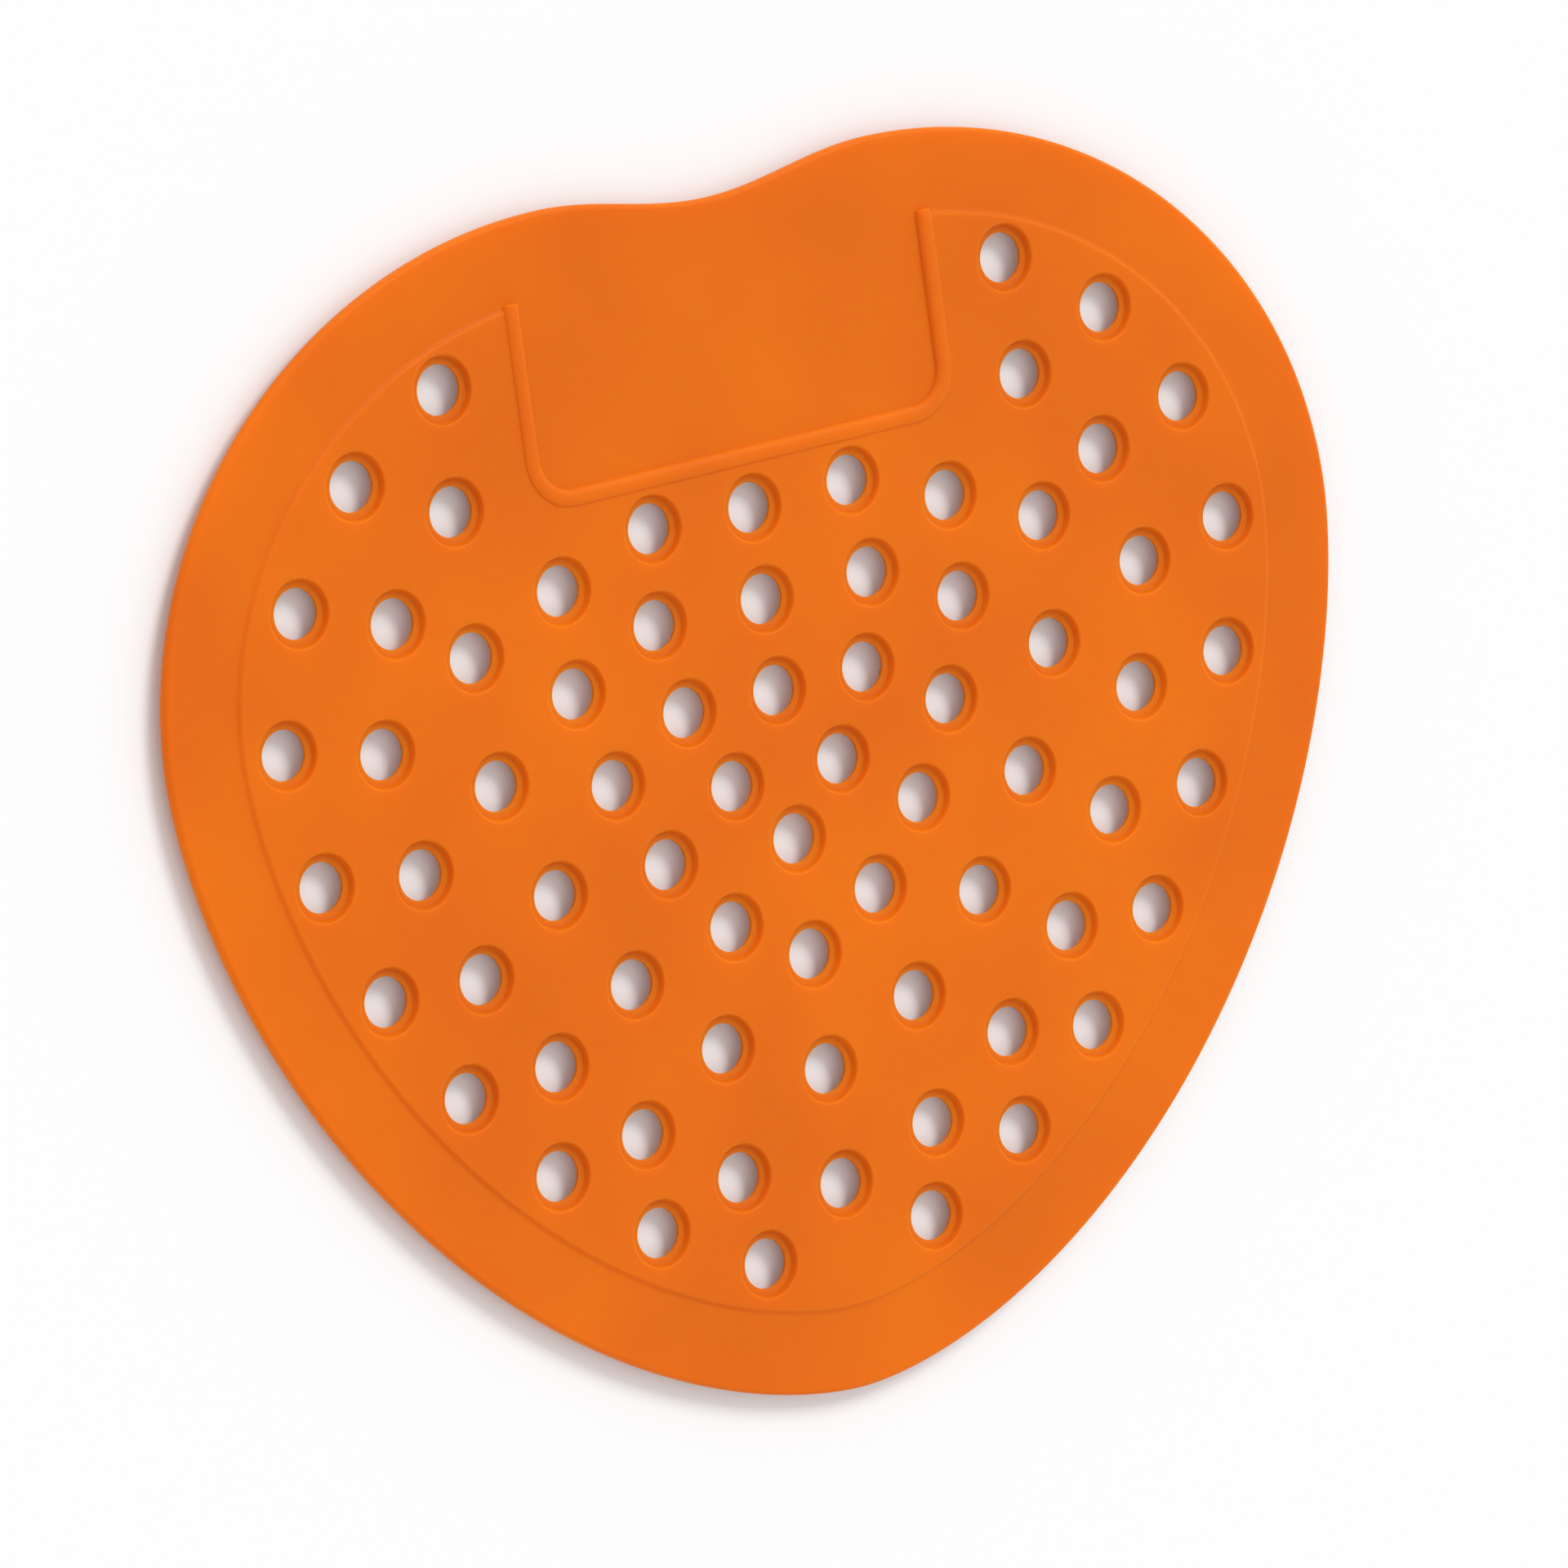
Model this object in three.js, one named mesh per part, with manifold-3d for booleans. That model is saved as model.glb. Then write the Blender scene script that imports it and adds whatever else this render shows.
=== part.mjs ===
// Urinal deodorizer screen: one thin moulded sheet of soft scented plastic, heart-shaped,
// with rings of recessed drain holes and a bare label panel. Millimetres, +Z up.
// It lies face up on its small feet, with the label end towards +Y and z = 0 under the feet.

import * as THREE from 'three';
import { mergeVertices } from 'three/addons/utils/BufferGeometryUtils.js';
import Module from 'manifold-3d';

// Outline of the sheet
const overall_width = 178;
const overall_depth = 152;
const widest_above_middle = 19.4; // the widest place lies nearer the label end
const lobe_spacing = 50; // between the tops of the two lobes
const dip_depth = 3; // shallow dip between the lobes
const toe_fullness = 1.75; // 2 is an ellipse, less is more pointed
const edge_round = 0.5;

// Sheet, raised field and border
const sheet_thickness = 1.5;
const field_raise = 0.4;
const border_width = 10.4;
const pocket_margin = 1.2; // the hollow under the field stops this far inside its edge

// Label panel and the bead round it
const label_width = 65.2; // over the bead
const label_bottom_y = 40;
const label_corner_radius = 6.5;
const bead_width = 2.2;
const bead_raise = 0.4; // above the field
const bead_round = 0.25;

// Drain holes
const hole_diameter = 6.2;
const recess_diameter = 8.5;
const shelf_diameter = 7.9; // at the foot of the recess's steep wall
const shelf_depth = 0.88;
const recess_depth = 0.95; // where the shelf meets the bore

// Rings of holes, counted inwards from the border
const first_ring_inset = 16.6; // from the sheet's edge to the holes' centres, at the sides
const ring_pitch = 14; // at the sides
const first_toe_inset = 15.8; // at the toe
const second_toe_inset = 25.7;
const toe_pitch = 14.5;
const centre_gap = 26.6; // the first ring has no hole on the centre line
const label_side_clearance = 10; // from the bead to a hole's centre
const label_below_clearance = 4.8;
const centre_column_spacing = 11.4;
const centre_column_start = 5.4; // below the label panel

// Each ring's own shape: hole spacing, height of its widest place above the sheet's middle,
// rise of its upper part over that place, and how full its toe is
const ring_shapes = [
  { spacing: 17, widest: 16.4, rise: 45.5, fullness: 1.65 },
  { spacing: 15.8, widest: 16, rise: 35, fullness: 1.67 },
  { spacing: 16.2, widest: 18.7, rise: 29, fullness: 1.62 },
  { spacing: 12.8, widest: 23.4, rise: 28, fullness: 1.6 },
  { spacing: 11.8, widest: 20.6, rise: 33, fullness: 1.36 },
];
const ring_shoulder = 0.29; // where the upper part's centre stands, as a share of the half width

// Feet under the field
const foot_diameter = 4;
const foot_height = 2;
const foot_spacing = 31;
const foot_hole_clearance = 1.2;

// Fineness of the round shapes
const outline_steps = 22;
const lobe_steps = 8;
const corner_steps = 5;
const hole_segments = 12;
const foot_segments = 10;
const curve_samples = 300;
const overlap = 0.3; // how far joined pieces run into each other

const half_width = overall_width / 2;
const half_depth = overall_depth / 2;
const half_label = label_width / 2;
const flange_bottom = foot_height - field_raise;
const flange_top = flange_bottom + sheet_thickness;
const field_top = flange_top + field_raise;
const bead_top = field_top + bead_raise;

const wasm = await Module();
wasm.setup();

// A closed three.js geometry becomes a solid that can be joined and cut
function solidFrom(geometry) {
  const bare = geometry.clone();
  bare.deleteAttribute('normal');
  bare.deleteAttribute('uv');
  const merged = mergeVertices(bare, 1e-4);
  return new wasm.Manifold(new wasm.Mesh({
    numProp: 3,
    vertProperties: Float32Array.from(merged.attributes.position.array),
    triVerts: Uint32Array.from(merged.index.array),
  }));
}

function geometryFrom(solid) {
  const mesh = solid.getMesh();
  const geometry = new THREE.BufferGeometry();
  geometry.setAttribute('position', new THREE.BufferAttribute(Float32Array.from(mesh.vertProperties), 3));
  geometry.setIndex(new THREE.BufferAttribute(Uint32Array.from(mesh.triVerts), 1));
  geometry.computeVertexNormals();
  return geometry;
}

// A plate of one outline between two heights, with its top and bottom edges rounded
function plate(points, bottom, top, round = 0, roundSteps = 1) {
  const geometry = new THREE.ExtrudeGeometry(new THREE.Shape(points), {
    depth: top - bottom - 2 * round,
    bevelEnabled: round > 0,
    bevelThickness: round,
    bevelSize: round,
    bevelOffset: -round,
    bevelSegments: roundSteps,
  });
  geometry.translate(0, 0, bottom + round);
  return solidFrom(geometry);
}

// Right half of a heart from its toe up to the middle of the dip, drawn a distance inside the edge
function heartHalf(inset) {
  const widest = half_width - inset;
  const toe_depth = half_depth + widest_above_middle - inset;
  const lobe_x = lobe_spacing / 2;
  const lobe_height = half_depth - widest_above_middle - inset;
  const points = [];
  for (let i = 0; i <= outline_steps; i += 1) {
    const angle = (Math.PI / 2) * (i / outline_steps);
    const x = widest * Math.sin(angle) ** (2 / toe_fullness);
    const y = widest_above_middle - toe_depth * Math.cos(angle) ** (2 / toe_fullness);
    points.push(new THREE.Vector2(x, y));
  }
  for (let i = 1; i <= outline_steps; i += 1) {
    const angle = (Math.PI / 2) * (i / outline_steps);
    const x = lobe_x + (widest - lobe_x) * Math.cos(angle);
    points.push(new THREE.Vector2(x, widest_above_middle + lobe_height * Math.sin(angle)));
  }
  for (let i = 1; i <= lobe_steps; i += 1) {
    const along = i / lobe_steps;
    const fall = (dip_depth / 2) * (1 - Math.cos(Math.PI * along));
    points.push(new THREE.Vector2(lobe_x * (1 - along), widest_above_middle + lobe_height - fall));
  }
  return points;
}

// The left half repeats the right half in a mirror, without the points on the centre line
function mirrored(half) {
  const left = half.filter((point) => point.x > 1e-6).map((point) => new THREE.Vector2(-point.x, point.y));
  return half.concat(left.reverse());
}

// A quarter turn round the label panel's lower right corner, from its side to its bottom
function labelCorner(half, bottom, radius) {
  const points = [];
  for (let i = 0; i <= corner_steps; i += 1) {
    const angle = (Math.PI / 2) * (i / corner_steps);
    const x = half - radius + radius * Math.cos(angle);
    const y = bottom + radius - radius * Math.sin(angle);
    points.push(new THREE.Vector2(x, y));
  }
  return points;
}

// Height of the border line above a place on it
function borderHeight(x, inset) {
  const line = heartHalf(inset).slice(outline_steps);
  const next = line.findIndex((point) => point.x <= x);
  const a = line[next - 1];
  const b = line[next];
  return a.y + ((b.y - a.y) * (a.x - x)) / (a.x - b.x);
}

// The field inside the border line, less the label panel; the margin draws it smaller all round
function fieldOutline(margin) {
  const inset = border_width + margin;
  const side = half_label - bead_width / 2 + margin;
  const bottom = label_bottom_y + bead_width / 2 - margin;
  const radius = label_corner_radius - bead_width / 2 + margin;
  const half = heartHalf(inset).filter((point, i) => i <= outline_steps || point.x > side);
  half.push(new THREE.Vector2(side, borderHeight(side, inset)));
  return mirrored(half.concat(labelCorner(side, bottom, radius)));
}

// The bead: a band along both sides and the bottom of the label panel
function beadOutline() {
  const top = borderHeight(half_label, border_width);
  const inner_half = half_label - bead_width;
  const outer = labelCorner(half_label, label_bottom_y, label_corner_radius);
  const inner = labelCorner(inner_half, label_bottom_y + bead_width, label_corner_radius - bead_width);
  const right_outer = [new THREE.Vector2(half_label, top), ...outer];
  const right_inner = [new THREE.Vector2(inner_half, top), ...inner];
  const flip = (points) => points.map((point) => new THREE.Vector2(-point.x, point.y));
  return [...right_outer, ...flip(right_outer).reverse(), ...flip(right_inner), ...right_inner.reverse()];
}

// Right half of a ring of holes as a fine line from the toe upwards
function ringLine(side_inset, toe_inset, shape) {
  const widest = half_width - side_inset;
  const toe_depth = shape.widest + half_depth - toe_inset;
  const shoulder = ring_shoulder * widest;
  const points = [];
  for (let i = 0; i <= curve_samples; i += 1) {
    const angle = (Math.PI / 2) * (i / curve_samples);
    const x = widest * Math.sin(angle) ** (2 / shape.fullness);
    points.push(new THREE.Vector2(x, shape.widest - toe_depth * Math.cos(angle) ** (2 / shape.fullness)));
  }
  for (let i = 1; i <= curve_samples; i += 1) {
    const angle = (Math.PI / 2) * (i / curve_samples);
    const x = shoulder + (widest - shoulder) * Math.cos(angle);
    points.push(new THREE.Vector2(x, shape.widest + shape.rise * Math.sin(angle)));
  }
  return points;
}

// Places at equal steps along a line, from a first distance on
function placesAlong(line, first, spacing) {
  const places = [];
  let travelled = 0;
  let wanted = first;
  for (let i = 1; i < line.length; i += 1) {
    const step = line[i].distanceTo(line[i - 1]);
    while (step > 0 && wanted <= travelled + step) {
      places.push(line[i - 1].clone().lerp(line[i], (wanted - travelled) / step));
      wanted += spacing;
    }
    travelled += step;
  }
  return places;
}

// A hole stands either beside the label panel or below it
function clearOfLabel(place) {
  const beside = place.x >= half_label + label_side_clearance;
  const below = place.y <= label_bottom_y - label_below_clearance;
  return beside || below;
}

function upToLabel(places) {
  const stop = places.findIndex((place) => !clearOfLabel(place));
  return stop < 0 ? places : places.slice(0, stop);
}

function sideInset(ring) {
  return first_ring_inset + ring * ring_pitch;
}

function toeInset(ring) {
  return ring === 0 ? first_toe_inset : second_toe_inset + (ring - 1) * toe_pitch;
}

function bothSides(places) {
  const left = places.filter((place) => place.x > 1e-3).map((place) => new THREE.Vector2(-place.x, place.y));
  return places.concat(left);
}

// Centres of all the drain holes
function holeCentres() {
  const rings = ring_shapes.filter((shape, ring) => half_width - sideInset(ring) > recess_diameter);
  let centres = [];
  let last_toe = -half_depth;
  rings.forEach((shape, ring) => {
    const line = ringLine(sideInset(ring), toeInset(ring), shape);
    const first = ring === 0 ? centre_gap / 2 : 0;
    centres = centres.concat(bothSides(upToLabel(placesAlong(line, first, shape.spacing))));
    last_toe = line[0].y;
  });
  const column_top = label_bottom_y - centre_column_start;
  for (let y = column_top; y > last_toe + centre_column_spacing; y -= centre_column_spacing) {
    centres.push(new THREE.Vector2(0, y));
  }
  return centres;
}

// The cutter of one hole: a steep recess, a narrow shelf and a short straight bore
function holeCutter() {
  const over = field_top + overlap;
  const under = field_top - sheet_thickness - overlap;
  const profile = [
    new THREE.Vector2(0, under),
    new THREE.Vector2(hole_diameter / 2, under),
    new THREE.Vector2(hole_diameter / 2, field_top - recess_depth),
    new THREE.Vector2(shelf_diameter / 2, field_top - shelf_depth),
    new THREE.Vector2(recess_diameter / 2, field_top),
    new THREE.Vector2(recess_diameter / 2, over),
    new THREE.Vector2(0, over),
  ];
  const geometry = new THREE.LatheGeometry(profile, hole_segments);
  geometry.rotateX(Math.PI / 2);
  return solidFrom(geometry);
}

// Feet stand midway between neighbouring rings, wherever the holes leave room
function footCentres(holes) {
  const reach = (hole_diameter + foot_diameter) / 2 + foot_hole_clearance;
  const centres = [];
  for (let ring = 0; ring + 1 < ring_shapes.length; ring += 1) {
    const side = (sideInset(ring) + sideInset(ring + 1)) / 2;
    if (half_width - side <= foot_diameter) break;
    const toe = (toeInset(ring) + toeInset(ring + 1)) / 2;
    const line = ringLine(side, toe, ring_shapes[ring + 1]);
    const places = bothSides(upToLabel(placesAlong(line, 0, foot_spacing)));
    const clear = places.filter((place) => holes.every((hole) => hole.distanceTo(place) >= reach));
    centres.push(...clear);
  }
  return centres;
}

function foot() {
  const height = foot_height + overlap;
  const geometry = new THREE.CylinderGeometry(foot_diameter / 2, foot_diameter / 2, height, foot_segments);
  geometry.rotateX(Math.PI / 2);
  geometry.translate(0, 0, height / 2);
  return solidFrom(geometry);
}

function screenGeometry() {
  const holes = holeCentres();
  const pocket_roof = flange_bottom + field_raise;
  let sheet = plate(mirrored(heartHalf(0)), flange_bottom, flange_top, edge_round, 2);
  sheet = sheet.add(plate(fieldOutline(0), flange_top - overlap, field_top));
  sheet = sheet.add(plate(beadOutline(), flange_top - overlap, bead_top, bead_round));
  sheet = sheet.subtract(plate(fieldOutline(pocket_margin), flange_bottom - overlap, pocket_roof));
  const cutter = holeCutter();
  const cutters = holes.map((hole) => cutter.translate([hole.x, hole.y, 0]));
  sheet = sheet.subtract(wasm.Manifold.union(cutters));
  const stud = foot();
  const studs = footCentres(holes).map((place) => stud.translate([place.x, place.y, 0]));
  return geometryFrom(sheet.add(wasm.Manifold.union(studs)));
}

const soft_plastic = new THREE.MeshStandardMaterial({ color: 0xe4701c, roughness: 0.55, metalness: 0 });

const screen = new THREE.Mesh(screenGeometry(), soft_plastic);
screen.name = 'deodorizer_screen';

const part = new THREE.Group();
part.add(screen);

export default part;
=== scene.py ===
import math

import bmesh
import bpy
from mathutils import Matrix, Vector
from mathutils.geometry import delaunay_2d_cdt
import numpy as np


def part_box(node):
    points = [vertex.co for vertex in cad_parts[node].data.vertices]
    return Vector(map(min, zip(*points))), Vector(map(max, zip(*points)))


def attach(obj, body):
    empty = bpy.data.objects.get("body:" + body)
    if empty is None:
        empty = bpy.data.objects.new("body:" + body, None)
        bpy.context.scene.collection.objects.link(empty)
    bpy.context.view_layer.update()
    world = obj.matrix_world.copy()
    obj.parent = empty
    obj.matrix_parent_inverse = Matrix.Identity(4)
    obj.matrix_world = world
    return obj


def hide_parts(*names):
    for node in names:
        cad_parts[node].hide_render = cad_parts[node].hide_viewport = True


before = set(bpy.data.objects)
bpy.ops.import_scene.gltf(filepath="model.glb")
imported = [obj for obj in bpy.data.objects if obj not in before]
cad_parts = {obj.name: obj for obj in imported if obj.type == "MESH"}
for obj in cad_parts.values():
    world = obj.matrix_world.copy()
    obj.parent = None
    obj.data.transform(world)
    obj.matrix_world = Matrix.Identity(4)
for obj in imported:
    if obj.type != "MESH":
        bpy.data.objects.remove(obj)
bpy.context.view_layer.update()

# The sheet. The real screen is one thin sheet of soft vinyl, injection moulded in a mould of two
# halves: a heart with a shallow dip at its label end. Its edge is rounded all the way round.
# Sizes are in millimetres here, and meshes are in metres.
MM = 0.001
NODE = "deodorizer_screen"
screen_low, screen_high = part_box(NODE)
half_width = (screen_high[0] - screen_low[0]) / MM / 2
half_depth = (screen_high[1] - screen_low[1]) / MM / 2
widest_above_middle = 19.4
lobe_spacing = 50
dip_depth = 3
toe_fullness = 1.75
sheet_thickness = 1.5
field_raise = 0.4
foot_height = 2
flange_bottom = foot_height - field_raise
flange_top = flange_bottom + sheet_thickness
field_top = flange_top + field_raise
bead_top = screen_high[2] / MM
edge_round_top = 0.65
edge_round_bottom = 0.45
edge_points = 420
round_steps = 6
# A row of corners this far beyond a round keeps the flat beside it even when shaded smooth
support = 0.12
# A point nearer the middle line than this stands on it and has no mirror image
middle_line_reach = 0.001


def heart_half(inset, steps=160):
    """Right half of the heart, from the toe to the middle of the dip, a distance inside the edge."""
    widest = half_width - inset
    toe = half_depth + widest_above_middle - inset
    lobe_x = lobe_spacing / 2
    lobe_height = half_depth - widest_above_middle - inset
    power = 2 / toe_fullness
    points = []
    for i in range(steps + 1):
        angle = math.pi / 2 * i / steps
        y = widest_above_middle - toe * max(math.cos(angle), 0) ** power
        points.append((widest * math.sin(angle) ** power, y))
    for i in range(1, steps + 1):
        angle = math.pi / 2 * i / steps
        x = lobe_x + (widest - lobe_x) * math.cos(angle)
        points.append((x, widest_above_middle + lobe_height * math.sin(angle)))
    dip_steps = steps // 2
    for i in range(1, dip_steps + 1):
        along = i / dip_steps
        fall = dip_depth / 2 * (1 - math.cos(math.pi * along))
        points.append((lobe_x * (1 - along), widest_above_middle + lobe_height - fall))
    return points


def mirrored(half):
    """The whole loop, anticlockwise, from its right half."""
    return half + [(-x, y) for x, y in reversed(half) if x > middle_line_reach]


def resampled(points, count):
    """A line with a number of even steps and the same ends."""
    lengths = [0.0]
    for a, b in zip(points, points[1:]):
        lengths.append(lengths[-1] + math.dist(a, b))
    steps = np.linspace(0, lengths[-1], count + 1)
    xs = np.interp(steps, lengths, [x for x, _ in points])
    ys = np.interp(steps, lengths, [y for _, y in points])
    return list(zip(xs.tolist(), ys.tolist()))


def moved_in(loop, distance):
    """A closed anticlockwise loop moved inwards, square to itself."""
    result = []
    for i, (x, y) in enumerate(loop):
        before = loop[i - 1]
        after = loop[(i + 1) % len(loop)]
        run = (after[0] - before[0], after[1] - before[1])
        length = math.hypot(*run)
        result.append((x - run[1] / length * distance, y + run[0] / length * distance))
    return result


# The sheet's corners and faces are gathered in two lists, line by line.
corners = []
faces = []


def place_line(points, height):
    """Adds a line of points at one height, or at a height each, and gives their numbers."""
    first = len(corners)
    heights = height if isinstance(height, list) else [height] * len(points)
    corners.extend((x * MM, y * MM, z * MM) for (x, y), z in zip(points, heights))
    return list(range(first, len(corners)))


def skin(line_a, line_b, closed):
    """Joins two lines of as many points with four-sided faces."""
    count = len(line_a)
    for i in range(count if closed else count - 1):
        j = (i + 1) % count
        faces.append((line_a[i], line_a[j], line_b[j], line_b[i]))


# Rows round the edge, from the face to the underside, each as its inset and its height
edge = resampled(mirrored(heart_half(0)) + [heart_half(0)[0]], edge_points)[:-1]
edge_lines = [(edge_round_top + support, flange_top)]
for i in range(round_steps + 1):
    angle = math.pi / 2 * i / round_steps
    inset = edge_round_top * (1 - math.sin(angle))
    edge_lines.append((inset, flange_top - edge_round_top * (1 - math.cos(angle))))
for i in range(round_steps + 1):
    angle = math.pi / 2 * i / round_steps
    inset = edge_round_bottom * (1 - math.cos(angle))
    edge_lines.append((inset, flange_bottom + edge_round_bottom * (1 - math.sin(angle))))
edge_lines.append((edge_round_bottom + support, flange_bottom))
edge_loops = [moved_in(edge, inset) for inset, _ in edge_lines]
edge_rows = [place_line(loop, height) for loop, (_, height) in zip(edge_loops, edge_lines)]
for upper, lower in zip(edge_rows, edge_rows[1:]):
    skin(lower, upper, True)

# The border line. A fine step in the face of the mould lifts the perforated field over the plain
# border. It runs from one side of the label panel round the toe to the other.
border_width = 10.4
step_half_width = 0.4
step_rows_each_side = 4
step_points = 460
label_width = 65.2
half_label = label_width / 2
line_end = half_label + support


def border_line(inset, side=line_end, count=step_points):
    """A line inside the edge, from the label panel's left side round the toe to its right side."""
    half = heart_half(inset)
    for i in range(1, len(half)):
        (ax, ay), (bx, by) = half[i - 1], half[i]
        if ax > side >= bx and ay > widest_above_middle:
            share = (ax - side) / (ax - bx)
            right = half[:i] + [(side, ay + (by - ay) * share)]
            break
    left = [(-x, y) for x, y in reversed(right[1:])]
    return resampled(left + right, count)


def step_rise(share):
    """Rise over a soft step, from 0 at its start to 1 at its end."""
    return (1 - math.cos(math.pi * min(max(share, 0), 1))) / 2


step_offsets = [-step_half_width - support]
for i in range(2 * step_rows_each_side + 1):
    step_offsets.append(step_half_width * (i / step_rows_each_side - 1))
step_offsets.append(step_half_width + support)
step_lines = [border_line(border_width + offset) for offset in step_offsets]
step_heights = [
    flange_top + field_raise * step_rise((offset / step_half_width + 1) / 2) for offset in step_offsets
]
step_rows = [place_line(line, height) for line, height in zip(step_lines, step_heights)]
for outer, inner in zip(step_rows, step_rows[1:]):
    skin(outer, inner, False)

# The bead. A round rib, moulded with the sheet, frames the bare label panel on three sides. Its
# two legs end nearly square at the border line.
label_bottom_y = 40
label_corner_radius = 6.5
bead_width = 2.2
bead_half = bead_width / 2
bead_centre = half_label - bead_half
bead_radius = label_corner_radius - bead_half
# Rows across the bead as shares of its half width, and how full its flanks and its crown are
bead_shares = [1, 0.985, 0.95, 0.89, 0.8, 0.66, 0.45, 0.2]
bead_flank_power = 2.6
bead_crown_power = 0.6
cap_steps = 12
cap_flatness = 0.15
corner_steps = 14
leg_steps = 16
bottom_steps = 30
line_ends = [line[-1][1] for line in step_lines]
leg_foot = label_bottom_y + label_corner_radius
leg_run = line_ends[-1] - leg_foot
leg_places = line_ends + [line_ends[-1] - leg_run * i / leg_steps for i in range(1, leg_steps + 1)]
# Stations along the bead's middle line, each as its place and its direction out of the panel
stations = [((-bead_centre, y), (-1, 0)) for y in leg_places]
bottom_reach = bead_centre - bead_radius
for i in range(1, corner_steps + 1):
    angle = math.pi / 2 * i / corner_steps
    out = (-math.cos(angle), -math.sin(angle))
    stations.append(((-bottom_reach + bead_radius * out[0], leg_foot + bead_radius * out[1]), out))
right_stations = [((-p[0], p[1]), (-n[0], n[1])) for p, n in reversed(stations)]
for i in range(1, bottom_steps):
    x = bottom_reach * (2 * i / bottom_steps - 1)
    stations.append(((x, leg_foot - bead_radius), (0, -1)))
stations += right_stations
station_count = len(stations)


def bead_loop(half):
    """The loop round the bead at a distance from its middle line, from the left leg's top."""
    outer = [(p[0] + n[0] * half, p[1] + n[1] * half) for p, n in stations]
    inner = [(p[0] - n[0] * half, p[1] - n[1] * half) for p, n in reversed(stations)]
    turns = [math.pi * i / cap_steps for i in range(1, cap_steps)]
    cap = [(half * math.cos(a), line_ends[0] + half * cap_flatness * math.sin(a)) for a in turns]
    right = [(bead_centre + x, y) for x, y in cap]
    left = [(-bead_centre + x, y) for x, y in cap]
    return outer + right + inner + left


def bead_heights(loop, rise):
    """Heights round a loop of the bead: the face under it, raised by a share of the way to the top."""
    heights = []
    for i, (_, y) in enumerate(loop):
        beside_field = i < station_count
        base = float(np.interp(y, line_ends[::-1], step_heights[::-1])) if beside_field else flange_top
        heights.append(base + (bead_top - base) * rise)
    return heights


bead_foot = bead_loop(bead_half + support)
bead_rows = [place_line(bead_foot, bead_heights(bead_foot, 0))]
for share in bead_shares:
    loop = bead_loop(bead_half * share)
    rise = (1 - share**bead_flank_power) ** bead_crown_power
    bead_rows.append(place_line(loop, bead_heights(loop, rise)))
for outer, inner in zip(bead_rows, bead_rows[1:]):
    skin(outer, inner, True)
# A strip closes the bead's crest along its middle, and a small flat closes it at each leg's top
crest = bead_rows[-1]
inner_start = station_count + cap_steps - 1
inner_end = inner_start + station_count
skin(crest[:station_count], crest[inner_start:inner_end][::-1], False)
faces.append(crest[station_count - 1 : inner_start + 1])
faces.append(crest[inner_end - 1 :] + [crest[0]])

# The plain border and the label panel, one smooth flat. It runs from the rounded edge to the
# border line, and between the bead's legs.


def inside(loop, x, y):
    """Whether a place lies inside a closed loop."""
    hit = False
    for (ax, ay), (bx, by) in zip(loop, loop[1:] + loop[:1]):
        if (ay > y) != (by > y) and x < ax + (bx - ax) * (y - ay) / (by - ay):
            hit = not hit
    return hit


def fill(outer, openings, height, upward):
    """Fills the flat between a loop and the openings in it, without new points."""
    loops = [outer] + openings
    flat = []
    edges = []
    owners = []
    for owner, loop in enumerate(loops):
        first = len(flat)
        flat.extend(Vector(point) for point in loop)
        edges.extend((first + i, first + (i + 1) % len(loop)) for i in range(len(loop)))
        owners.extend([owner] * len(loop))
    every_triangle = 0
    same_spot = 1e-7
    points, _, triangles, sources, *_ = delaunay_2d_cdt(flat, edges, [], every_triangle, same_spot)
    numbers = place_line([tuple(point) for point in points], height)
    for triangle in triangles:
        touched = {owners[sources[i][0]] for i in triangle}
        if len(touched) == 1:
            owner = touched.pop()
            x = sum(points[i][0] for i in triangle) / 3
            y = sum(points[i][1] for i in triangle) / 3
            if inside(loops[owner], x, y) != (owner == 0):
                continue
        a, b, c = (points[i] for i in triangle)
        turn = (b[0] - a[0]) * (c[1] - a[1]) - (b[1] - a[1]) * (c[0] - a[0])
        face = [numbers[i] for i in triangle]
        faces.append(face if (turn > 0) == upward else face[::-1])


fill(edge_loops[0], [step_lines[0] + bead_foot[station_count:]], flange_top, True)

# Drain holes, 71 of them. Each has a steep recess, a narrow shelf and a short bore, all moulded.
# They stand in five rings that follow the outline, and in a column below the label panel.
hole_sizes = {
    "Hole Diameter": 6.2,
    "Shelf Diameter": 7.9,
    "Recess Diameter": 8.5,
    "Face Collar": 9.1,
    "Under Collar": 6.9,
    "Shelf Depth": 0.88,
    "Recess Depth": 0.95,
    "Sheet Thickness": sheet_thickness,
    "Rim Round": 0.28,
    "Shelf Round": 0.12,
    "Bore Round": 0.12,
}
hole_segments = 40
first_ring_inset = 16.6
ring_pitch = 14
first_toe_inset = 15.8
second_toe_inset = 25.7
toe_pitch = 14.5
centre_gap = 26.6
label_side_clearance = 10
label_below_clearance = 4.8
centre_column_spacing = 11.4
centre_column_start = 5.4
ring_shoulder = 0.29
ring_shapes = [
    {"spacing": 17, "widest": 16.4, "rise": 45.5, "fullness": 1.65},
    {"spacing": 15.8, "widest": 16, "rise": 35, "fullness": 1.67},
    {"spacing": 16.2, "widest": 18.7, "rise": 29, "fullness": 1.62},
    {"spacing": 12.8, "widest": 23.4, "rise": 28, "fullness": 1.6},
    {"spacing": 11.8, "widest": 20.6, "rise": 33, "fullness": 1.36},
]


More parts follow.
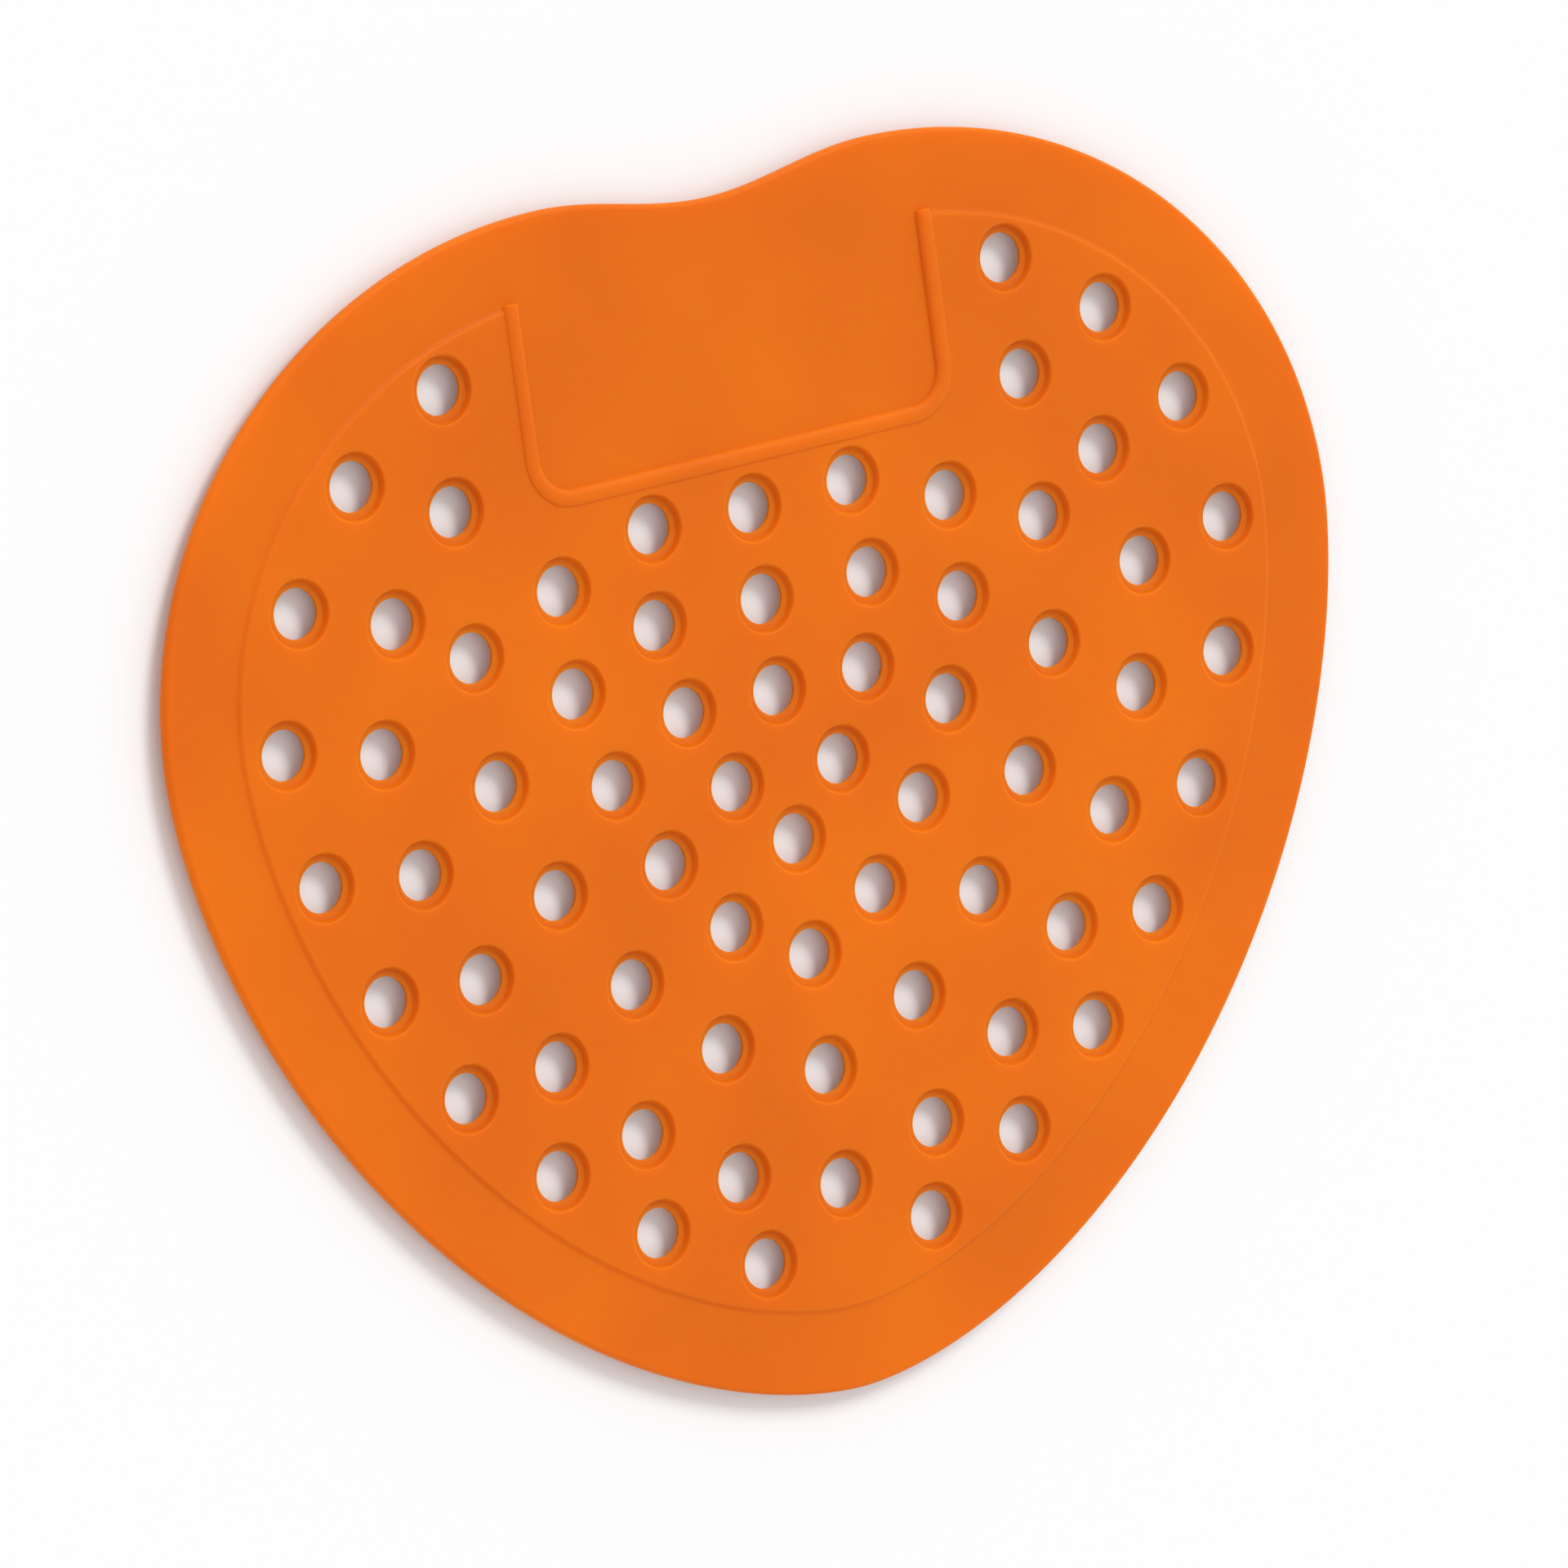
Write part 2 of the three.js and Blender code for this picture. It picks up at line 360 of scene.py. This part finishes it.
def ring_line(side_inset, toe_inset, shape, steps=300):
    """Right half of a ring as a fine line, from the toe upwards."""
    widest = half_width - side_inset
    toe = shape["widest"] + half_depth - toe_inset
    shoulder = ring_shoulder * widest
    power = 2 / shape["fullness"]
    points = []
    for i in range(steps + 1):
        angle = math.pi / 2 * i / steps
        y = shape["widest"] - toe * max(math.cos(angle), 0) ** power
        points.append((widest * math.sin(angle) ** power, y))
    for i in range(1, steps + 1):
        angle = math.pi / 2 * i / steps
        x = shoulder + (widest - shoulder) * math.cos(angle)
        points.append((x, shape["widest"] + shape["rise"] * math.sin(angle)))
    return points


def both_halves(right):
    """Places on the right half and their mirror images on the left."""
    return right + [(-x, y) for x, y in right if x > middle_line_reach]


def places_along(line, first, spacing):
    """Places on both halves at even steps along a line, up to the label panel."""
    right = []
    travelled = 0
    wanted = first
    for a, b in zip(line, line[1:]):
        step = math.dist(a, b)
        while step > 0 and wanted <= travelled + step:
            share = (wanted - travelled) / step
            x = a[0] + (b[0] - a[0]) * share
            y = a[1] + (b[1] - a[1]) * share
            beside = x >= half_label + label_side_clearance
            below = y <= label_bottom_y - label_below_clearance
            if not (beside or below):
                return both_halves(right)
            right.append((x, y))
            wanted += spacing
        travelled += step
    return both_halves(right)


def side_inset(ring):
    """How far inside the sheet's edge a ring lies at the sides."""
    return first_ring_inset + ring * ring_pitch


def toe_inset(ring):
    """How far inside the sheet's edge a ring lies at the toe."""
    return first_toe_inset if ring == 0 else second_toe_inset + (ring - 1) * toe_pitch


holes = []
for ring, shape in enumerate(ring_shapes):
    ring_path = ring_line(side_inset(ring), toe_inset(ring), shape)
    holes += places_along(ring_path, centre_gap / 2 if ring == 0 else 0, shape["spacing"])
innermost_toe_y = ring_path[0][1]
column_y = label_bottom_y - centre_column_start
while column_y > innermost_toe_y + centre_column_spacing:
    holes.append((0, column_y))
    column_y -= centre_column_spacing


def circle(centre, diameter, segments):
    """A round loop in even steps, anticlockwise."""
    turns = [2 * math.pi * i / segments for i in range(segments)]
    radius = diameter / 2
    return [(centre[0] + radius * math.cos(a), centre[1] + radius * math.sin(a)) for a in turns]


# The field's edge follows the border line's inner row, then comes back round the bead's outside
step_line_count = len(step_lines)
bead_outside = bead_foot[step_line_count : station_count - step_line_count]
field_edge = step_lines[-1] + bead_outside[::-1]
face_collars = [circle(hole, hole_sizes["Face Collar"], hole_segments) for hole in holes]
fill(field_edge, face_collars, field_top, True)


def add(tree, kind, values=None, **settings):
    """Adds a node with its settings, and a value or a link for each input."""
    node = tree.nodes.new(kind)
    for name, setting in settings.items():
        setattr(node, name, setting)
    for name, value in (values or {}).items():
        if isinstance(value, bpy.types.NodeSocket):
            tree.links.new(value, node.inputs[name])
        else:
            node.inputs[name].default_value = value
    return node


def turned_form(name, size_names, outline):
    """A tree that turns an outline round the upright through each place.

    Each corner of the outline names its diameter, its drop below the place and its round.
    An empty name is nought.
    """
    tree = bpy.data.node_groups.new(name, "GeometryNodeTree")
    tree.is_modifier = True
    tree.interface.new_socket("Places", in_out="INPUT", socket_type="NodeSocketGeometry")
    for size_name in size_names:
        tree.interface.new_socket(size_name, in_out="INPUT", socket_type="NodeSocketFloat")
    tree.interface.new_socket("Segments", in_out="INPUT", socket_type="NodeSocketInt")
    tree.interface.new_socket("Material", in_out="INPUT", socket_type="NodeSocketMaterial")
    tree.interface.new_socket("Result", in_out="OUTPUT", socket_type="NodeSocketGeometry")
    given = {socket.name: socket for socket in add(tree, "NodeGroupInput").outputs if socket.name}
    # The outline is swept round a circle so small that it stands for the axis
    axis_radius = 0.01 * MM
    corner_round_steps = 3
    index = add(tree, "GeometryNodeInputIndex").outputs[0]
    spots = add(tree, "GeometryNodeIndexSwitch", {"Index": index}, data_type="VECTOR")
    rounds = add(tree, "GeometryNodeIndexSwitch", {"Index": index}, data_type="FLOAT")
    for switch in (spots, rounds):
        while len(switch.index_switch_items) < len(outline):
            switch.index_switch_items.new()
    for i, (diameter, drop, corner_round) in enumerate(outline):
        reach_values = {0: given.get(diameter, 0.0), 1: 0.5, 2: -axis_radius}
        reach = add(tree, "ShaderNodeMath", reach_values, operation="MULTIPLY_ADD")
        spot = add(tree, "ShaderNodeCombineXYZ", {"X": reach.outputs[0], "Y": given.get(drop, 0.0)})
        tree.links.new(spot.outputs[0], spots.inputs[str(i)])
        if corner_round:
            tree.links.new(given[corner_round], rounds.inputs[str(i)])
    line = add(tree, "GeometryNodeMeshLine", {"Count": len(outline)})
    shaped_values = {"Geometry": line.outputs[0], "Position": spots.outputs[0]}
    shaped = add(tree, "GeometryNodeSetPosition", shaped_values)
    sharp = add(tree, "GeometryNodeMeshToCurve", {"Mesh": shaped.outputs[0]})
    soft_values = {"Curve": sharp.outputs[0], "Count": corner_round_steps, "Radius": rounds.outputs[0]}
    soft = add(tree, "GeometryNodeFilletCurve", soft_values, mode="POLY")
    turn_values = {"Resolution": given["Segments"], "Radius": axis_radius}
    turn = add(tree, "GeometryNodeCurvePrimitiveCircle", turn_values)
    form_values = {"Curve": turn.outputs[0], "Profile Curve": soft.outputs[0]}
    form = add(tree, "GeometryNodeCurveToMesh", form_values)
    copy_values = {"Points": given["Places"], "Instance": form.outputs[0]}
    copies = add(tree, "GeometryNodeInstanceOnPoints", copy_values)
    real = add(tree, "GeometryNodeRealizeInstances", {"Geometry": copies.outputs[0]})
    finish_values = {"Geometry": real.outputs[0], "Material": given["Material"]}
    finished = add(tree, "GeometryNodeSetMaterial", finish_values)
    add(tree, "NodeGroupOutput", {"Result": finished.outputs[0]})
    return tree


def made_at(places, height, tree, inputs):
    """The plain mesh that a tree makes at a list of places."""
    spots = bpy.data.meshes.new(tree.name)
    spots.from_pydata([(x * MM, y * MM, height * MM) for x, y in places], [], [])
    holder = bpy.data.objects.new(tree.name, spots)
    bpy.context.scene.collection.objects.link(holder)
    modifier = holder.modifiers.new(tree.name, "NODES")
    modifier.node_group = tree
    for socket in tree.interface.items_tree:
        if socket.name in inputs:
            modifier[socket.identifier] = inputs[socket.name]
    graph = bpy.context.evaluated_depsgraph_get()
    result = bpy.data.meshes.new_from_object(holder.evaluated_get(graph))
    holder.modifiers.remove(modifier)
    bpy.data.objects.remove(holder)
    return result


def linear(hex_colour):
    """A linear colour from its sRGB hex."""
    channels = [int(hex_colour[i : i + 2], 16) / 255 for i in (1, 3, 5)]
    return tuple(c / 12.92 if c <= 0.04045 else ((c + 0.055) / 1.055) ** 2.4 for c in channels) + (1.0,)


# Soft vinyl with perfume in it, moulded against a matt steel face. It is warm orange right through
# and lets a little light in, so thin rims glow and shaded walls stay orange.
vinyl = bpy.data.materials.new("soft_moulded_vinyl")
vinyl.use_nodes = True
shader_tree = vinyl.node_tree
shader_tree.nodes.clear()
on_object = add(shader_tree, "ShaderNodeTexCoord").outputs["Object"]
# Clouds in the colour, about 35 mm across, from the perfume oil's uneven spread
cloud_width = 35 * MM
cloud_values = {"Vector": on_object, "Scale": 1 / cloud_width, "Detail": 2.0}
clouds = add(shader_tree, "ShaderNodeTexNoise", cloud_values)
cloud_range_values = {"Value": clouds.outputs[0], "From Min": 0.35, "From Max": 0.65}
cloud_share = add(shader_tree, "ShaderNodeMapRange", cloud_range_values)
# The mix node's sockets share their names, so the ones for colours go by number
first_colour = 6
second_colour = 7
mixed_colour = 2
tint_values = {
    "Factor": cloud_share.outputs[0],
    first_colour: linear("#e66f06"),
    second_colour: linear("#f27804"),
}
tint = add(shader_tree, "ShaderNodeMix", tint_values, data_type="RGBA")
# The matt mould face's grain is 0.1 mm. Drawn at 0.4 mm, it makes the gloss very faintly uneven
grain_width = 0.4 * MM
grain_height = 0.006 * MM
grain_values = {"Vector": on_object, "Scale": 1 / grain_width, "Detail": 3.0}
grain = add(shader_tree, "ShaderNodeTexNoise", grain_values)
bump_values = {"Height": grain.outputs[0], "Distance": grain_height, "Strength": 0.5}
bump = add(shader_tree, "ShaderNodeBump", bump_values)
gloss_values = {"Value": grain.outputs[0], "To Min": 0.48, "To Max": 0.58}
gloss = add(shader_tree, "ShaderNodeMapRange", gloss_values)
body_values = {
    "Base Color": tint.outputs[mixed_colour],
    "Roughness": gloss.outputs[0],
    "IOR": 1.5,
    "Specular IOR Level": 0.15,
    "Subsurface Weight": 0.8,
    "Subsurface Radius": (1.0, 0.5, 0.2),
    "Subsurface Scale": 2.5 * MM,
    "Normal": bump.outputs[0],
}
body = add(shader_tree, "ShaderNodeBsdfPrincipled", body_values)
add(shader_tree, "ShaderNodeOutputMaterial", {"Surface": body.outputs[0]})

drain_outline = [
    ("Under Collar", "Sheet Thickness", ""),
    ("Hole Diameter", "Sheet Thickness", "Bore Round"),
    ("Hole Diameter", "Recess Depth", "Bore Round"),
    ("Shelf Diameter", "Shelf Depth", "Shelf Round"),
    ("Recess Diameter", "", "Rim Round"),
    ("Face Collar", "", ""),
]
drain_tree = turned_form("recessed_drain_holes", hole_sizes, drain_outline)
drain_inputs = {name: size * MM for name, size in hole_sizes.items()}
drain_inputs.update({"Segments": hole_segments, "Material": vinyl})
drains = made_at(holes, field_top, drain_tree, drain_inputs)

# The underside. The sheet is of one thickness, so the raised field is hollow by as much as it is
# raised. Small round feet, moulded with it, keep it off the wet floor of the bowl.
pocket_margin = 1.2
pocket_half_step = 0.25
pocket_rows_each_side = 3
foot_sizes = {
    "Foot Diameter": 4,
    "Foot Collar": 4.8,
    "Foot Height": foot_height,
    "Root Round": 0.3,
    "Tip Round": 0.5,
}
foot_segments = 24
foot_spacing = 31
foot_hole_clearance = 1.2
under_corner_steps = 10
under_side = half_label - bead_half + pocket_margin
under_bottom = label_bottom_y + bead_half - pocket_margin
under_radius = label_corner_radius - bead_half + pocket_margin
pocket_roof = field_top - sheet_thickness

# Feet stand midway between neighbouring rings, wherever the holes leave room
foot_reach = (hole_sizes["Hole Diameter"] + foot_sizes["Foot Diameter"]) / 2 + foot_hole_clearance
feet = []
for ring in range(len(ring_shapes) - 1):
    side = (side_inset(ring) + side_inset(ring + 1)) / 2
    toe = (toe_inset(ring) + toe_inset(ring + 1)) / 2
    foot_path = ring_line(side, toe, ring_shapes[ring + 1])
    for spot in places_along(foot_path, 0, foot_spacing):
        if all(math.dist(spot, hole) >= foot_reach for hole in holes):
            feet.append(spot)

# The hollow's edge follows the border line, and goes round the label panel with round corners
under_label = []
for i in range(under_corner_steps + 1):
    angle = math.pi / 2 * i / under_corner_steps
    x = under_side - under_radius * (1 - math.cos(angle))
    under_label.append((x, under_bottom + under_radius * (1 - math.sin(angle))))
under_label += [(-x, y) for x, y in reversed(under_label)]
pocket_edge = border_line(border_width + pocket_margin, under_side) + under_label
pocket_offsets = []
for i in range(2 * pocket_rows_each_side + 1):
    pocket_offsets.append(pocket_half_step * (i / pocket_rows_each_side - 1))
pocket_loops = [moved_in(pocket_edge, offset) for offset in pocket_offsets]
pocket_heights = [
    flange_bottom + field_raise * step_rise((offset / pocket_half_step + 1) / 2) for offset in pocket_offsets
]
pocket_rows = [place_line(loop, height) for loop, height in zip(pocket_loops, pocket_heights)]
for outer, inner in zip(pocket_rows, pocket_rows[1:]):
    skin(inner, outer, True)
fill(edge_loops[-1], [pocket_loops[0]], flange_bottom, False)
under_collars = [circle(hole, hole_sizes["Under Collar"], hole_segments) for hole in holes]
foot_collars = [circle(foot, foot_sizes["Foot Collar"], foot_segments) for foot in feet]
fill(pocket_loops[-1], under_collars + foot_collars, pocket_roof, False)

foot_outline = [
    ("Foot Collar", "", ""),
    ("Foot Diameter", "", "Root Round"),
    ("Foot Diameter", "Foot Height", "Tip Round"),
    ("", "Foot Height", ""),
]
foot_tree = turned_form("moulded_feet", foot_sizes, foot_outline)
foot_inputs = {name: size * MM for name, size in foot_sizes.items()}
foot_inputs.update({"Segments": foot_segments, "Material": vinyl})
studs = made_at(feet, pocket_roof, foot_tree, foot_inputs)

# The whole moulding. Sheet, drain holes and feet came out of one mould, so they are one closed
# skin without a seam.
weld_distance = 0.002 * MM
flat_parts = bpy.data.meshes.new("sheet")
flat_parts.from_pydata(corners, [], faces)
flat_parts.materials.append(vinyl)
moulding = bmesh.new()
for mesh in (flat_parts, drains, studs):
    moulding.from_mesh(mesh)
bmesh.ops.remove_doubles(moulding, verts=moulding.verts, dist=weld_distance)
bmesh.ops.recalc_face_normals(moulding, faces=moulding.faces)
for face in moulding.faces:
    face.smooth = True
    face.material_index = 0
screen_mesh = bpy.data.meshes.new("moulded_screen")
moulding.to_mesh(screen_mesh)
moulding.free()
screen_mesh.materials.append(vinyl)
screen = bpy.data.objects.new("moulded_screen", screen_mesh)
bpy.context.scene.collection.objects.link(screen)
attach(screen, "root")
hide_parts(NODE)

# The studio. The screen lies on a wide sheet of matt white paper, which is no part of the object.
# The paper looks white and keeps the screen's shadow.
floor_half = 2.5


def seen_share(tree):
    """1 where the eye sees a place, also in a gloss or through glass, and 0 where it only gives light."""
    ray = add(tree, "ShaderNodeLightPath").outputs
    first_values = {0: ray["Is Camera Ray"], 1: ray["Is Glossy Ray"]}
    first_sum = add(tree, "ShaderNodeMath", first_values, operation="ADD")
    all_values = {0: first_sum.outputs[0], 1: ray["Is Transmission Ray"]}
    return add(tree, "ShaderNodeMath", all_values, operation="ADD", use_clamp=True).outputs[0]


floor_corners = [(x * floor_half, y * floor_half, 0) for x, y in ((-1, -1), (1, -1), (1, 1), (-1, 1))]
floor_mesh = bpy.data.meshes.new("floor")
floor_mesh.from_pydata(floor_corners, [], [(0, 1, 2, 3)])
floor = bpy.data.objects.new("floor", floor_mesh)
bpy.context.scene.collection.objects.link(floor)
paper = bpy.data.materials.new("matt_white_paper")
paper.use_nodes = True
paper.node_tree.nodes.clear()
# This lift takes the paper to white for the eye and in gloss. It adds no diffuse light anywhere
paper_lift = 0.07
lift_values = {0: seen_share(paper.node_tree), 1: paper_lift}
lift = add(paper.node_tree, "ShaderNodeMath", lift_values, operation="MULTIPLY")
paper_values = {
    "Base Color": linear("#f6f6f6"),
    "Roughness": 0.9,
    "Emission Color": (1, 1, 1, 1),
    "Emission Strength": lift.outputs[0],
}
paper_body = add(paper.node_tree, "ShaderNodeBsdfPrincipled", paper_values)
add(paper.node_tree, "ShaderNodeOutputMaterial", {"Surface": paper_body.outputs[0]})
floor_mesh.materials.append(paper)

# The light. An even white surround lights every side, and one broad lamp from beyond the label end
# brings out the recesses and the bead.
ambient = 0.7
lamp_direction = Vector((0.33, 0.62, 0.71))
lamp_strength = 1.3
lamp_spread = 25
world = bpy.data.worlds.new("white_surround")
bpy.context.scene.world = world
world.use_nodes = True
world.node_tree.nodes.clear()
level_values = {"Value": seen_share(world.node_tree), "To Min": ambient, "To Max": 1.0}
level = add(world.node_tree, "ShaderNodeMapRange", level_values)
surround_values = {"Color": (1, 1, 1, 1), "Strength": level.outputs[0]}
surround = add(world.node_tree, "ShaderNodeBackground", surround_values)
add(world.node_tree, "ShaderNodeOutputWorld", {"Surface": surround.outputs[0]})
lamp_data = bpy.data.lights.new("broad_lamp", "SUN")
lamp_data.energy = lamp_strength
lamp_data.angle = math.radians(lamp_spread)
lamp = bpy.data.objects.new("broad_lamp", lamp_data)
lamp.rotation_euler = lamp_direction.to_track_quat("Z", "Y").to_euler()
bpy.context.scene.collection.objects.link(lamp)

# The camera. It has the photograph's view of the screen's face, through a long lens, with the
# screen in the middle of the picture.
image_size = 1920
lens_mm = 280
sensor_mm = 36
pixels_per_mm = 10
toward_camera = Vector((-0.5745, 0.1724, 0.8001)).normalized()
picture_right = Vector((0.7913, -0.1329, 0.5968))
picture_up = toward_camera.cross(picture_right).normalized()
picture_right = picture_up.cross(toward_camera)
distance = lens_mm / sensor_mm * image_size / pixels_per_mm * MM
middle = Vector((0, 0, (screen_low[2] + screen_high[2]) / 2))
camera_data = bpy.data.cameras.new("camera")
camera_data.lens = lens_mm
camera_data.sensor_width = sensor_mm
camera = bpy.data.objects.new("camera", camera_data)
turned = Matrix((picture_right, picture_up, toward_camera)).transposed().to_4x4()
camera.matrix_world = Matrix.Translation(middle + toward_camera * distance) @ turned
bpy.context.scene.collection.objects.link(camera)
bpy.context.scene.camera = camera
bpy.context.scene.view_settings.view_transform = "Standard"
